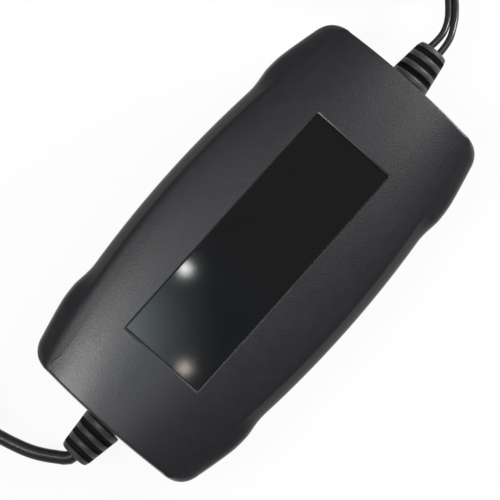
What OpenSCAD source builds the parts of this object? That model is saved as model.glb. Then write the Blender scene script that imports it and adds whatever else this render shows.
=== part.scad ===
// Battery charger: moulded housing with a flat mains plug and two battery clamps on its leads.
// Millimetres, +Z up. The origin is under the middle of the housing, on the surface it stands on.
// +X points to the end where the battery lead leaves.

/* [Housing] */
// Length of the housing
body_len = 195; // [180:1:220]
// Width of the housing at its middle
body_wid = 101.8; // [94:0.2:112]
// Height of the housing with its feet
body_high = 50; // [48:0.5:56]
// Height of the parting line between the shells
part_z = 25; // [24:0.5:27]
// Wall of both shells
wall = 2.5; // [2:0.1:3]
// Height of the rubber feet
foot_high = 2; // [1.5:0.1:2.5]

/* [Window] */
// Length of the window recess
window_len = 121; // [100:1:124]
// Width of the window recess
window_wid = 40.7; // [34:0.1:42]
// Gap between the window and the recess, each side
window_gap = 0.35; // [0.2:0.05:0.5]

/* [Leads] */
// Diameter of the mains lead
ac_dia = 6; // [5.6:0.1:6.4]
// Thickness of one core of the battery lead
dc_core = 3.1; // [2.9:0.1:3.3]
// Length that a strain relief stands out
relief_len = 18.4; // [16:0.1:20]

/* [Clamps] */
// Length of a clamp's jaw from the pivot to the tip
jaw_len = 27; // [26:0.5:28]
// Half the spread of a clamp's handles
handle_spread = 13; // [12:0.5:13]
// Thickness of a clamp lying on its side
clamp_thick = 12; // [11.5:0.5:12.5]

/* [Hidden] */
$fn = 48;
black_plastic = "#2b2b2d";
black_rubber = "#1c1c1d";
steel = "#b9bbbe";
copper = "#b5703a";
grip_red = "#b01e1e";

// ---- housing outline: the long side is a shallow barrel with a lobe at each corner ----
half_len = body_len / 2;
half_wid = body_wid / 2;
barrel_r = 484;
notch_x = 48;
lobe_x = 62;
lobe_half = half_wid - 1.4;
lobe_bend_x = 68;
lobe_slope = 0.245;
corner_x = half_len - 10;
end_bow = 0.9;
long_steps = 12;
corner_steps = 3;
end_steps = 3;
quarter = long_steps + corner_steps + end_steps;
ring_n = 4 * quarter;

function smooth(a, b, x) = let (t = min(1, max(0, (x - a) / (b - a)))) t * t * (3 - 2 * t);
function mix(a, b, t) = a + (b - a) * t;
function barrel(x) = half_wid - x * x / (2 * barrel_r);
function lobe(x) = let (d = x - lobe_bend_x) lobe_half - lobe_slope * (d + sqrt(d * d + 25)) / 2;
function side_y(x) = mix(barrel(x), lobe(x), smooth(notch_x, lobe_x, x));
function shoulder_y(x) = half_wid - 5.2 - 10.7 * pow(x / half_len, 2);
function end_x(y) = half_len - end_bow * pow(y / 33, 2);
function bezier(a, b, c, t) = a * (1 - t) * (1 - t) + b * 2 * t * (1 - t) + c * t * t;

// One quarter of a ring, j from 0 at the middle of the long side to quarter at the middle of the end
function outline_q(j) = let (y_c = side_y(corner_x), y_e = 31.5)
    j <= long_steps ? let (x = corner_x * j / long_steps) [x, side_y(x)]
    : j < long_steps + corner_steps ? bezier([corner_x, y_c], [half_len - 0.6, y_c - 2.3], [end_x(y_e), y_e],
        (j - long_steps) / corner_steps)
    : let (y = y_e * (quarter - j) / end_steps) [end_x(y), y];
function shoulder_q(j) = let (x_c = half_len - 3.5, y_c = shoulder_y(x_c), y_e = y_c - 3)
    j <= long_steps ? let (x = x_c * j / long_steps) [x, shoulder_y(x)]
    : j < long_steps + corner_steps ? bezier([x_c, y_c], [half_len - 1.2, y_c - 0.5], [end_x(y_e) - 1, y_e],
        (j - long_steps) / corner_steps)
    : let (y = y_e * (quarter - j) / end_steps) [end_x(y) - 1, y];
function rect_q(j, a, b) = let (r = 0.6)
    j <= long_steps ? [(a - r) * j / long_steps, b]
    : j < long_steps + corner_steps ? let (t = 90 * (j - long_steps) / corner_steps)
        [a - r + r * sin(t), b - r + r * cos(t)]
    : [a, (b - r) * (quarter - j) / end_steps];

// A quarter list turned into a whole ring, counter-clockwise from above
function whole(q) = concat(
    [for (j = [quarter:-1:1]) q[j]],
    [for (j = [0:quarter - 1]) [-q[j][0], q[j][1]]],
    [for (j = [quarter:-1:1]) [-q[j][0], -q[j][1]]],
    [for (j = [0:quarter - 1]) [q[j][0], -q[j][1]]]);
outline = whole([for (j = [0:quarter]) outline_q(j)]);
shoulder = whole([for (j = [0:quarter]) shoulder_q(j)]);
window_ring = whole([for (j = [0:quarter]) rect_q(j, window_len / 2, window_wid / 2)]);
opening_half = [57, 17];
opening_ring = whole([for (j = [0:quarter]) rect_q(j, opening_half[0], opening_half[1])]);

function inset(ring, d) = [for (p = ring) [p[0] * (1 - d / half_len), p[1] * (1 - d / half_wid)]];
function blend(a, b, t) = [for (i = [0:ring_n - 1]) mix(a[i], b[i], t)];
function at_z(ring, z) = [for (p = ring) [p[0], p[1], z]];
crown_drop = 4.2;
function crown_z(p) = body_high - crown_drop * pow(abs(p[1]) / shoulder_y(abs(p[0])), 2.6)
    - 0.8 * pow(abs(p[0]) / half_len, 4);
function on_crown(ring, drop = 0) = [for (p = ring) [p[0], p[1], crown_z(p) - drop]];

// The side wall: share of the way in to the shoulder, and share of the height up to it
wall_profile = [[0, 0], [0.015, 0.36], [0.03, 0.6], [0.09, 0.74], [0.34, 0.83], [0.68, 0.92]];
function wall_ring(out, sh, f, low) = [for (i = [0:ring_n - 1])
    let (p = mix(out[i], sh[i], f[0])) [p[0], p[1], mix(part_z, crown_z(sh[i]) - low, f[1])]];

// Triangles between neighbouring rings; a closed stack joins its last ring to its first
function band(a, b, n) = [for (i = [0:n - 1]) let (k = (i + 1) % n) each
    [[a * n + i, a * n + k, b * n + k], [a * n + i, b * n + k, b * n + i]]];
function fan(a, n, centre, up) = [for (i = [0:n - 1]) let (k = (i + 1) % n)
    up ? [a * n + i, a * n + k, centre] : [a * n + k, a * n + i, centre]];
function flip(faces) = [for (f = faces) [f[2], f[1], f[0]]];
function joined(rings) = [for (r = rings) each r];

module ring_solid(rings) {
    m = len(rings);
    polyhedron(points = joined(rings), faces = flip([for (a = [0:m - 1]) each band(a, (a + 1) % m, ring_n)]));
}
module cup_solid(outer_rings, inner_rings) {
    rings = concat(outer_rings, inner_rings);
    m = len(rings);
    bottom_z = outer_rings[0][0][2];
    floor_z = inner_rings[len(inner_rings) - 1][0][2];
    n_all = m * ring_n;
    polyhedron(points = concat(joined(rings), [[0, 0, bottom_z], [0, 0, floor_z]]),
        faces = flip(concat([for (a = [0:m - 2]) each band(a, a + 1, ring_n)],
            fan(0, ring_n, n_all, false), fan(m - 1, ring_n, n_all + 1, true))));
}

// ---- shared places ----
post_at = [for (sx = [-1, 1], sy = [-1, 1]) [sx * 85, sy * 26]];
board_boss_at = [for (sx = [-1, 1], sy = [-1, 1]) [sx * 76, sy * 30]];
display_post_at = [for (sx = [-1, 1], sy = [-1, 1]) [sx * 50, sy * 21.5]];
floor_in = foot_high + wall;
recess_z = body_high - 2;
board_z = 9;
board_thick = 1.6;
board_top = board_z + board_thick;
neck_r = 7;
post_r = 4;
post_foot = 20;
display_z = 42;
seal_in = 1;
seal_wide = 0.9;
seal_high = 1.1;

module both_exits(r) {
    for (s = [-1, 1]) translate([s * (half_len - 8), 0, part_z]) rotate([0, s * 90, 0])
        cylinder(h = 12, r = r);
}
module at_each(places, z = 0) {
    for (p = places) translate([p[0], p[1], z]) children();
}

// ---- housing ----
module top_shell() {
    in_out = inset(outline, wall);
    in_sh = inset(shoulder, wall);
    crown_steps = [0.25, 0.55, 0.82];
    rings = concat(
        [for (f = wall_profile) wall_ring(outline, shoulder, f, 0)],
        [on_crown(shoulder)],
        [for (t = crown_steps) on_crown(blend(shoulder, window_ring, t))],
        [on_crown(window_ring), at_z(window_ring, recess_z), at_z(opening_ring, recess_z),
            at_z(opening_ring, recess_z - 1.6)],
        [for (t = [0.35, 0.7]) on_crown(blend(opening_ring, in_sh, t), wall + 1.2 - t)],
        [on_crown(in_sh, wall)],
        [for (k = [5, 3, 1]) wall_ring(in_out, in_sh, wall_profile[k], wall)],
        [at_z(in_out, part_z)]);
    color(black_plastic) difference() {
        union() {
            ring_solid(rings);
            at_each(post_at, post_foot) cylinder(h = body_high - 3.5 - post_foot, r = post_r);
            at_each(display_post_at, display_z + 1.6) cylinder(h = 3.6, r = 2.5);
        }
        at_each(post_at, post_foot - 1) cylinder(h = 16, r = 1.5);
        at_each(display_post_at, display_z) cylinder(h = 4.4, r = 0.9);
        both_exits(neck_r + 0.05);
    }
}
module bottom_shell() {
    out = inset(outline, 0.5);
    in_out = inset(outline, wall + 0.2);
    outer_rings = [at_z(inset(outline, 7), foot_high), at_z(inset(outline, 4.2), foot_high + 0.7),
        at_z(inset(outline, 2.4), foot_high + 2.6), at_z(inset(outline, 1.6), foot_high + 6), at_z(out,
            part_z)];
    groove = [for (g = [[seal_in, 0], [seal_in, seal_high], [seal_in + seal_wide, seal_high],
        [seal_in + seal_wide, 0]]) at_z(inset(outline, g[0]), part_z - g[1])];
    inner_rings = concat(groove, [at_z(in_out, part_z), at_z(inset(outline, 4.2), foot_high + 6),
        at_z(inset(outline, 7), floor_in)]);
    color(black_plastic) difference() {
        union() {
            cup_solid(outer_rings, inner_rings);
            at_each(post_at, foot_high + 1) cylinder(h = post_foot - foot_high - 1, r = post_r + 0.6);
            at_each(board_boss_at, floor_in - 1) cylinder(h = board_z - floor_in + 1, r = 3.5);
        }
        at_each(post_at, foot_high - 1) cylinder(h = 14, r = 3.1);
        at_each(post_at, foot_high) cylinder(h = 30, r = 1.7);
        at_each(board_boss_at, floor_in) cylinder(h = 10, r = 1.25);
        both_exits(neck_r + 0.05);
    }
}
module case_seal() {
    clear = 0.04;
    color("#3a3a3a") difference() {
        translate([0, 0, part_z - seal_high]) linear_extrude(seal_high) difference() {
            polygon(inset(outline, seal_in + clear));
            polygon(inset(outline, seal_in + seal_wide - clear));
        }
        both_exits(neck_r + 0.1);
    }
}
module case_screws() {
    color(steel) at_each(post_at, foot_high + 13) {
        translate([0, 0, -2.2]) difference() {
            cylinder(h = 2.2, r = 2.8);
            translate([0, 0, -1]) cylinder(h = 2, r = 1.2, $fn = 6);
        }
        cylinder(h = 16, r = 1.45);
    }
}
module rubber_feet() {
    color(black_rubber) for (sx = [-1, 1], sy = [-1, 1]) translate([sx * 62, sy * 30, 0]) {
        cylinder(h = foot_high, r = 6);
    }
}

// ---- window and display ----
module window_adhesive() {
    color("#555555") translate([0, 0, recess_z]) linear_extrude(0.2) difference() {
        square([window_len - 1.4, window_wid - 1.4], center = true);
        square([2 * opening_half[0] + 1, 2 * opening_half[1] + 1], center = true);
    }
}
module display_window() {
    color("#0b0b0d") translate([0, 0, recess_z + 0.2]) linear_extrude(0.9)
        square([window_len - 2 * window_gap, window_wid - 2 * window_gap], center = true);
}
module display_module() {
    color("#24302c") translate([-52, -15, display_z + 1.6]) cube([104, 30, 4]);
}
module display_board() {
    color("#1f5a36") difference() {
        translate([-57, -25, display_z]) cube([114, 50, 1.6]);
        at_each(display_post_at, display_z - 1) cylinder(h = 4, r = 1.15);
    }
}
module display_board_screws() {
    color(steel) at_each(display_post_at, display_z - 1.2) {
        cylinder(h = 1.2, r = 1.9);
        cylinder(h = 4.6, r = 0.85);
    }
}
module ribbon_cable() {
    path = [[24, 41.2], [30, 40.4], [33.6, 36], [34.4, 28], [34.4, 16], [34.4, board_top]];
    back = [for (i = [len(path) - 1:-1:0]) [path[i][0] - 0.7, path[i][1] - (i < 3 ? 0.6 : 0)]];
    color("#c9c9c4") translate([-8, 0, 0]) rotate([90, 0, 90]) linear_extrude(16)
        polygon(concat([[22, 42], [24, 42]], [for (i = [1:len(path) - 1]) path[i]],
            [for (i = [0:len(path) - 2]) back[i]], [[22, 41.2]]));
}

// ---- main board and its parts ----
module main_board() {
    color("#2a6b3f") difference() {
        translate([-82, -37, board_z]) cube([164, 74, board_thick]);
        at_each(board_boss_at, board_z - 1) cylinder(h = 4, r = 1.6);
        at_each(post_at, board_z - 1) cylinder(h = 4, r = post_r + 1.6);
    }
}
module board_screws() {
    color(steel) at_each(board_boss_at, board_top - 5) {
        cylinder(h = 5.2, r = 1.2);
        translate([0, 0, 5]) cylinder(h = 1.8, r = 2.7);
    }
}
module stock(x, y, size) {
    translate([x - size[0] / 2, y - size[1] / 2, board_top]) cube(size);
}
module lead_terminals() {
    color("#2f6f4f") for (s = [-1, 1]) stock(s * 74, 0, [9, 15, 10]);
}
module inner_cores(s, wire_r) {
    for (t = [-1, 1]) tube([[s * 91.4, t * 2.3, part_z], [s * 89, t * 2.3, part_z], [s * 86, t * 3, 23],
        [s * 83.6, t * 3.4, 18.6], [s * 81, t * 3.6, 15.4], [s * 79.6, t * 3.6, 15], [s * 78.7, t * 3.6, 15]],
        round_profile(wire_r, 8));
}
module mains_inner_cores() {
    color("#7a4a2a") inner_cores(-1, 1.1);
}
module output_inner_cores() {
    color("#a02020") inner_cores(1, 1.3);
}
module mains_fuse() {
    color("#d8d8d8") translate([-72, -26, board_top + 4]) rotate([0, 90, 0]) cylinder(h = 20, r = 2.6);
}
module fuse_clips() {
    color(steel) for (x = [-72, -56]) translate([x, -30, board_top]) difference() {
        cube([4, 8, 6]);
        translate([-1, 4, 4]) rotate([0, 90, 0]) cylinder(h = 6, r = 2.65);
        translate([-1, 3, 4]) cube([6, 2, 4]);
    }
}
module x_capacitor() {
    color("#d9b13b") stock(-60, -11, [18, 9, 15]);
}
module toroid(x, y, r_out, r_in, high) {
    mid = (r_out + r_in) / 2;
    translate([x, y, board_top + high / 2]) rotate_extrude()
        translate([mid, 0]) square([r_out - r_in, high], center = true);
}
module filter_choke() {
    color(copper) toroid(-60, 12, 10, 4, 13);
}
module bridge_rectifier() {
    color("#1a1a1a") stock(-40, -28, [20, 4.5, 15]);
}
module primary_capacitor() {
    color("#20304a") translate([-34, 14, board_top]) cylinder(h = 27, r = 11);
}
module primary_heat_sink() {
    color("#9a9ca0") {
        stock(-8, -33, [44, 3, 25]);
        for (i = [0:5]) stock(-28 + i * 8, -30, [1.6, 3.4, 25]);
    }
}
module switching_transistors() {
    color("#161616") for (x = [-24, -8]) translate([x, -28.2, board_top]) cube([5, 4.4, 17]);
}
core_x = 6;
core_wide = 34;
core_high = 27;
core_deep = 14;
leg = 10;
module transformer_core() {
    color("#3c3c3e") difference() {
        stock(core_x, -4, [core_wide, core_deep, core_high]);
        for (s = [-1, 1]) translate([core_x + s * 9.25 - 4.25, -13, board_top + 4]) cube([8.5, 20,
            core_high - 8]);
    }
}
module transformer_bobbin() {
    translate([core_x, -4, board_top + 4.1]) color("#d7c9a0") difference() {
        union() {
            for (z = [0, core_high - 9.4]) translate([-9, -12, z]) cube([18, 24, 1.2]);
            translate([-6.2, -8.2, 0]) cube([12.4, 16.4, core_high - 8.2]);
        }
        translate([-leg / 2 - 0.1, -core_deep / 2 - 0.1, -1]) cube([leg + 0.2, core_deep + 0.2, core_high]);
    }
}
module transformer_winding() {
    translate([core_x, -4, board_top + 5.4]) color("#d8a23a") difference() {
        translate([-8.8, -11, 0]) cube([17.6, 22, core_high - 10.8]);
        translate([-6.3, -8.3, -1]) cube([12.6, 16.6, core_high]);
    }
}
module output_heat_sink() {
    color("#9a9ca0") {
        stock(36, 32, [40, 3, 25]);
        for (i = [0:4]) stock(20 + i * 8, 29, [1.6, 3.4, 25]);
    }
}
module output_diodes() {
    color("#161616") for (x = [22, 38]) translate([x, 24.4, board_top]) cube([4, 2.6, 17]);
}
module output_inductor() {
    color(copper) toroid(38, -16, 11, 4.5, 11);
}
module output_capacitors() {
    color("#26405e") for (p = [[58, 20], [58, 8], [46, 8]]) translate([p[0], p[1], board_top])
        cylinder(h = 20, r = 5);
}
module output_relay() {
    color("#2c5aa0") stock(62, -20, [19, 15.5, 15.5]);
}

// ---- strain reliefs ----
relief_yaw = 2.5;
relief_base_r = 9.4;
relief_tip_r = 7;
module relief_cone(base_r, tip_r, long, grooves, depth) {
    pitch = long / (grooves + 1);
    step = 1.7;
    rotate([0, 90, 0]) rotate_extrude() polygon(concat([[0, 0], [base_r, 0]],
        [for (g = [1:grooves]) let (x = g * pitch - step / 2, ra = mix(base_r, tip_r, x / long),
            rb = mix(base_r, tip_r, (x + step) / long)) each
            [[ra, x], [ra - depth, x + 0.15], [rb - depth, x + step - 0.15], [rb, x + step]]],
        [[tip_r, long - 1.4], [tip_r - 0.5, long - 0.5], [tip_r - 1.5, long], [0, long]]));
}
module strain_relief(s, yaw) {
    out = 1.2;
    color(black_rubber) translate([s * half_len, 0, part_z]) rotate([0, 0, s < 0 ? 180 : 0]) {
        translate([-5.9, 0, 0]) rotate([0, 90, 0]) cylinder(h = 2.2, r = 9.4);
        translate([-5.9, 0, 0]) rotate([0, 90, 0]) cylinder(h = 5.9 + out + 0.4, r = neck_r);
        rotate([0, 0, yaw]) translate([out, 0, 0]) relief_cone(relief_base_r, relief_tip_r, relief_len,
            3, 1.9);
    }
}
module ac_strain_relief() {
    strain_relief(-1, -relief_yaw);
}
module dc_strain_relief() {
    strain_relief(1, relief_yaw);
}

// ---- leads: a tube swept along points, its profile given as [across, up] ----
function unit(v) = v / norm(v);
function round_profile(r, n) = [for (i = [0:n - 1]) [r * cos(360 * i / n), r * sin(360 * i / n)]];
function twin_profile(t) = [[t, 0], [t * 0.78, t / 2], [t * 0.22, t / 2], [-t * 0.22, t / 2],
    [-t * 0.78, t / 2],
    [-t, 0], [-t * 0.78, -t / 2], [-t * 0.22, -t / 2], [t * 0.22, -t / 2], [t * 0.78, -t / 2]];
function flat_profile(t) = [[t, 0], [t / 2, t / 2], [-t / 2, t / 2], [-t, 0], [-t / 2, -t / 2], [t / 2,
    -t / 2]];
function heading(p, i) = let (m = len(p) - 1) i == 0 ? unit(p[1] - p[0]) : i == m ? unit(p[m] - p[m - 1])
    : unit(unit(p[i + 1] - p[i]) + unit(p[i] - p[i - 1]));
function tube_ring(p, i, profile) = let (h = heading(p, i), side = unit(cross(h, [0, 0, 1])),
    up = cross(side, h))
    [for (q = profile) p[i] + side * q[0] + up * q[1]];
// The stretch of a path from one point to another; a stretch that follows another starts just past its end
cut_gap = 0.05;
module tube(p, profile, first = 0, last = -1) {
    n = len(profile);
    end = last < 0 ? len(p) - 1 : last;
    m = end - first + 1;
    shift = first > 0 ? heading(p, first) * cut_gap : [0, 0, 0];
    rings = [for (i = [first:end]) let (ring = tube_ring(p, i, profile)) i > first ? ring
        : [for (q = ring) q + shift]];
    polyhedron(points = concat([for (ring = rings) each ring], [p[first] + shift, p[end]]),
        faces = flip(concat([for (a = [0:m - 2]) each band(a, a + 1, n)],
            fan(0, n, m * n, false), fan(m - 1, n, m * n + 1, true))));
}
function route_len(p, i = 0) = i >= len(p) - 1 ? 0 : norm(p[i + 1] - p[i]) + route_len(p, i + 1);

// Piled loops: out to in, up a layer in a half turn, in to out, and so on. t counts turns from the start.
function loop_r(t, n, r_out, pitch) = let (leg_t = n + 0.5, k = floor(t / leg_t + 0.0001), u = t - k * leg_t,
    inward = k % 2 == 0, edge = inward ? r_out - pitch * n : r_out, dip = pitch / 360 * 57.2958)
    u <= n ? (inward ? r_out - pitch * u : r_out - pitch * (n - u))
    : edge + (inward ? -dip : dip) * sin((u - n) * 360);
function loop_layer(t, n) = let (leg_t = n + 0.5, k = floor(t / leg_t + 0.0001), u = t - k * leg_t)
    u <= n ? k : k + (1 - cos((u - n) * 360)) / 2;
function loop_point(t, c, start, way, n, r_out, pitch, z0, rise) = let (a = start + way * 360 * t,
    r = loop_r(t, n, r_out, pitch))
    [c[0] + r * cos(a), c[1] + r * sin(a), z0 + rise * loop_layer(t, n)];
per_turn = 24;
function loops(turns, c, start, way, n, r_out, pitch, z0, rise) = let (m = round(turns * per_turn))
    [for (i = [0:m]) loop_point(turns * i / m, c, start, way, n, r_out, pitch, z0, rise)];

// Least gap between turns: to each segment at least a third of a turn away, for a section this wide and thick
function seg_point(p, a, b) = let (t = min(1, max(0,
    (p - a) * (b - a) / ((b - a) * (b - a))))) a + (b - a) * t;
function gap_to(d, wide, thick) = norm([max(0, norm([d[0], d[1]]) - (wide - thick)), d[2]]) - thick;
function least_gap(p, wide, thick) = min([for (i = [0:len(p) - 1]) for (j = [i + 8:1:len(p) - 2])
    gap_to(p[i] - seg_point(p[i], p[j], p[j + 1]), wide, thick)]);

floor_lift = 0.9;
layers = 4;
ac_r = ac_dia / 2;
ac_pitch = ac_dia + 0.6;
ac_centre = [-158.5, 67];
ac_r_out = 36;
ac_turns = 8 + 208 / 360;
ac_leg = (ac_turns - 0.5 * (layers - 1)) / layers;
ac_top = ac_r + floor_lift + (layers - 1) * ac_pitch;
ac_coil = loops(ac_turns, ac_centre, -28, 1, ac_leg, ac_r_out, ac_pitch, ac_top, -ac_pitch);
ac_route = [[-117.2, 0.86, 25], [-117.5, 0.87, 25], [-118.39, 1.01, 25], [-119.23, 1.35, 25],
    [-119.98, 1.87, 24.97], [-120.58, 2.54, 24.95], [-122.3, 5.5, 24.88], [-125.4, 10.8, 24.7],
    [-128.2, 16.6, 24.5], [-130.3, 23, 24.2], [-132, 29.6, 24], [-132.9, 34.4, 23.8], [-132.6, 38.8, 23.7],
    [-131.1, 42.9, 23.7], [-129, 46.6, 23.7]];
ac_tail = [[-194.3, 58, 3.95], [-193, 49.5, 4.4], [-190, 41.5, 5.1], [-185.6, 34.5, 5.9], [-181.6, 28.6, 6.5],
    [-179, 24.2, 6.8], [-178.5, 21.4, 6.9], [-178.5, 20.3, 6.9]];
ac_path = concat(ac_route, ac_coil, ac_tail);
ac_in = len(ac_route);
ac_out = ac_in + len(ac_coil) - 1;

dc_wide = 2 * dc_core;
dc_pitch = dc_wide + 0.7;
dc_rise = dc_core + 0.7;
dc_centre = [154, 46.5];
dc_r_out = 27;
dc_turns = 9 + 170 / 360;
dc_leg = (dc_turns - 0.5 * (layers - 1)) / layers;
dc_top = dc_core / 2 + floor_lift + (layers - 1) * dc_rise;
dc_coil = loops(dc_turns, dc_centre, -80, 1, dc_leg, dc_r_out, dc_pitch, dc_top, -dc_rise);
dc_route = [[117.4, 0.7, 25], [121.4, 0.6, 24.6], [125.7, 1.1, 23.6], [129.8, 2.6, 22.2], [133.6, 4.6, 20.4],
    [137.1, 7.1, 18.4], [140.3, 9.8, 16.6], [143.4, 12.8, 15.2], [146.7, 15.6, 14.4], [150.3, 17.8, 14.05],
    [154.4, 19.2, 13.9]];
sleeve_at = [118, 73.5, 2.5];
sleeve_split = 11;
dc_tail = [[147, 73.4, 2.45], [140, 73.1, 2.45], [134, 73.5, 2.5], [sleeve_at[0] + sleeve_split + 0.1,
    73.5, 2.5]];
dc_path = concat(dc_route, dc_coil, dc_tail);
dc_in = len(dc_route);
dc_out = dc_in + len(dc_coil) - 1;
red_route = [[117.8, 75.25, 2.5], [115, 75.25, 2.4], [109, 75.5, 1.9], [102.5, 77.6, 1.6], [98, 82.6, 1.6],
    [96.4, 89.3, 1.8], [98, 96, 2.4], [102.6, 101.2, 3.6], [108.6, 103.6, 5.2], [114, 104, 6], [117.9,
        104, 6]];
black_route = [[117.8, 71.75, 2.5], [115, 71.75, 2.4], [109, 71.8, 1.9], [101.6, 73.6, 1.8], [95.6, 78.2, 2.8],
    [92.6, 85, 5], [92.6, 92.4, 8.4], [95.8, 98.8, 12.2], [101.6, 103, 15.6], [108.4, 104, 17.8], [114,
        104, 18.3],
    [117.9, 104, 18.3]];
echo(ac_coil_gap = least_gap(ac_coil, ac_dia, ac_dia));
echo(dc_coil_gap = least_gap(dc_coil, dc_wide, dc_core));
function stretch(p, a, b) = [for (i = [a:b]) p[i]];
echo(ac_lengths = [route_len(stretch(ac_path, 0, ac_in)), route_len(ac_coil),
    route_len(stretch(ac_path, ac_out, len(ac_path) - 1))]);
echo(dc_lengths = [route_len(stretch(dc_path, 0, dc_in)), route_len(dc_coil),
    route_len(stretch(dc_path, dc_out, len(dc_path) - 1)), route_len(red_route), route_len(black_route)]);

module ac_lead() {
    color(black_rubber) tube(ac_path, round_profile(ac_r, 10), 0, ac_in);
}
module ac_lead_coil() {
    color(black_rubber) tube(ac_path, round_profile(ac_r, 6), ac_in, ac_out);
}
module ac_lead_tail() {
    color(black_rubber) tube(ac_path, round_profile(ac_r, 10), ac_out);
}
module dc_lead() {
    color(black_rubber) tube(dc_path, twin_profile(dc_core), 0, dc_in);
}
module dc_lead_coil() {
    color(black_rubber) tube(dc_path, flat_profile(dc_core), dc_in, dc_out);
}
module dc_lead_tail() {
    color(black_rubber) tube(dc_path, twin_profile(dc_core), dc_out);
}
module red_lead() {
    color(black_rubber) tube(red_route, round_profile(dc_core / 2, 8));
}
module black_lead() {
    color(black_rubber) tube(black_route, round_profile(dc_core / 2, 8));
}
// A flat band round all the turns of a coil, standing square to them at one angle
module coil_tie(c, angle, r_in, r_out, high) {
    band_thick = 0.7;
    color("#202022") translate([c[0], c[1], 0]) rotate([0, 0, angle]) translate([r_in - band_thick, -4, 0])
        difference() {
            cube([r_out - r_in + 2 * band_thick, 8, high + 2 * band_thick]);
            translate([band_thick, -1, band_thick]) cube([r_out - r_in, 10, high]);
        }
}
module ac_coil_tie() {
    coil_tie(ac_centre, 150, ac_r_out - ac_pitch * ac_leg - ac_r - 1.8, ac_r_out + ac_r + 1.5,
        floor_lift + ac_dia + (layers - 1) * ac_pitch - 0.3);
}
module dc_coil_tie() {
    coil_tie(dc_centre, 35, dc_r_out - dc_pitch * dc_leg - dc_core - 2.4, dc_r_out + dc_core + 1.6,
        floor_lift + dc_core + (layers - 1) * dc_rise - 0.3);
}
module lead_split_sleeve() {
    color(black_rubber) translate(sleeve_at) rotate([90, 0, 90]) linear_extrude(sleeve_split) {
        square([dc_core * 1.1, 4.8], center = true);
        for (s = [-1, 1]) translate([s * dc_core * 0.55, 0]) circle(r = 2.4);
    }
}

// ---- mains plug, lying flat with its pins along -Y ----
plug_at = [-178.5, 6, 6.9];
plug_long = 34;
plug_wide = 35.3;
plug_thick = 13.7;
pin_half = 9.5;
pin_r = 2;
pin_root_r = 1.6;
pin_neck_r = 1.4;
pin_sleeve_r = 1.8;
pin_long = 19;
sleeve_long = 10;
module on_plug() {
    translate(plug_at) rotate([0, 0, -90]) children();
}
module on_pins(back) {
    on_plug() for (s = [-1, 1]) translate([plug_long - back, s * pin_half, 0]) rotate([0, 90, 0]) children();
}
module plug_body() {
    color(black_rubber) difference() {
        on_plug() intersection() {
            translate([0, 0, -plug_at[2]]) linear_extrude(20) polygon([[0, -6], [8, -8], [18, -16],
                [24, -plug_wide / 2], [plug_long, -plug_wide / 2], [plug_long, plug_wide / 2], [24,
                    plug_wide / 2],
                [18, 16], [8, 8], [0, 6]]);
            rotate([90, 0, 90]) linear_extrude(plug_long)
                polygon([for (s = [[1, 1], [-1, 1], [-1, -1], [1, -1]]) each
                    let (a = [s[0] * plug_wide / 2, s[1] * 3], b = [s[0] * 11, s[1] * plug_thick / 2])
                    s[0] * s[1] > 0 ? [a, b] : [b, a]]);
        }
        on_pins(8) cylinder(h = 10, r = pin_root_r);
    }
}
module plug_strain_relief() {
    color(black_rubber) on_plug() rotate([0, 0, 180]) relief_cone(5.6, 4.2, 14, 3, 1.1);
}
module plug_pins() {
    color(steel) on_pins(0)
        rotate_extrude() polygon([[0, -8], [pin_root_r, -8], [pin_root_r, 0], [pin_neck_r, 0],
            [pin_neck_r, sleeve_long], [pin_r, sleeve_long], [pin_r, pin_long - 1], [1, pin_long], [0,
                pin_long]]);
}
module plug_pin_sleeves() {
    color("#111111") on_pins(0)
        rotate_extrude() translate([pin_neck_r, 0]) square([pin_sleeve_r - pin_neck_r, sleeve_long]);
}

// ---- battery clamps, one on the other on their side, jaws towards +X; side is +1 for the +Y half ----
red_at = [152, 93, 0];
black_at = red_at + [0, 0, clamp_thick + 0.3];
plate = 1.2;
fixed_z = 1;
moving_z = 2.6;
ear_r = 4.5;
clamp_pin_r = 1.6;
post_hollow_r = 5.5;
hollow_x = 13.5;
handle_len = 33;
inner_edge = concat([for (i = [0:6]) [jaw_len - i * 1.2, i % 2 == 0 ? 0.3 : 1.2]],
    [for (a = [10:20:170]) [hollow_x + post_hollow_r * cos(a), post_hollow_r * sin(a)]],
    [[7.4, 0.3], [5, 0.3], [-4, 2], [-handle_len, handle_spread - 3.5]]);
outer_edge = [[-handle_len, handle_spread], [-9, 8.4], [0, 7.6], [8, 9.2], [16, 9], [24, 5.5],
    [jaw_len + 0.6, 2.2]];
module half_plate(side) {
    mirror([0, side > 0 ? 0 : 1]) polygon(concat(inner_edge, outer_edge));
    circle(r = ear_r);
}
module half_web(side) {
    n = len(outer_edge);
    mirror([0, side > 0 ? 0 : 1])
        polygon(concat(outer_edge, [for (i = [n - 1:-1:0]) [outer_edge[i][0], outer_edge[i][1] - plate]]));
}
module jaw_half(side, z, hole_r) {
    high = clamp_thick - 2 * z;
    color(steel) difference() {
        union() {
            for (k = [0, high - plate]) translate([0, 0, z + k]) linear_extrude(plate) half_plate(side);
            translate([0, 0, z]) linear_extrude(high) half_web(side);
        }
        translate([0, 0, -1]) cylinder(h = clamp_thick + 2, r = hole_r);
    }
}
module grip_half(side, z, low, tint) {
    color(tint) difference() {
        translate([0, 0, low]) linear_extrude(clamp_thick - 2 * low) mirror([0, side > 0 ? 0 : 1])
            polygon([[-handle_len - 1, handle_spread - 4.6], [-10, 2.6], [-10, 9.7],
                [-handle_len - 1, handle_spread + 1.2]]);
        translate([0, 0, z]) linear_extrude(clamp_thick - 2 * z) mirror([0, side > 0 ? 0 : 1])
            polygon([[-handle_len, handle_spread - 3.5], [-4, 2], [0, 7.6], [-9, 8.4], [-handle_len,
                handle_spread]]);
    }
}
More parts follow.
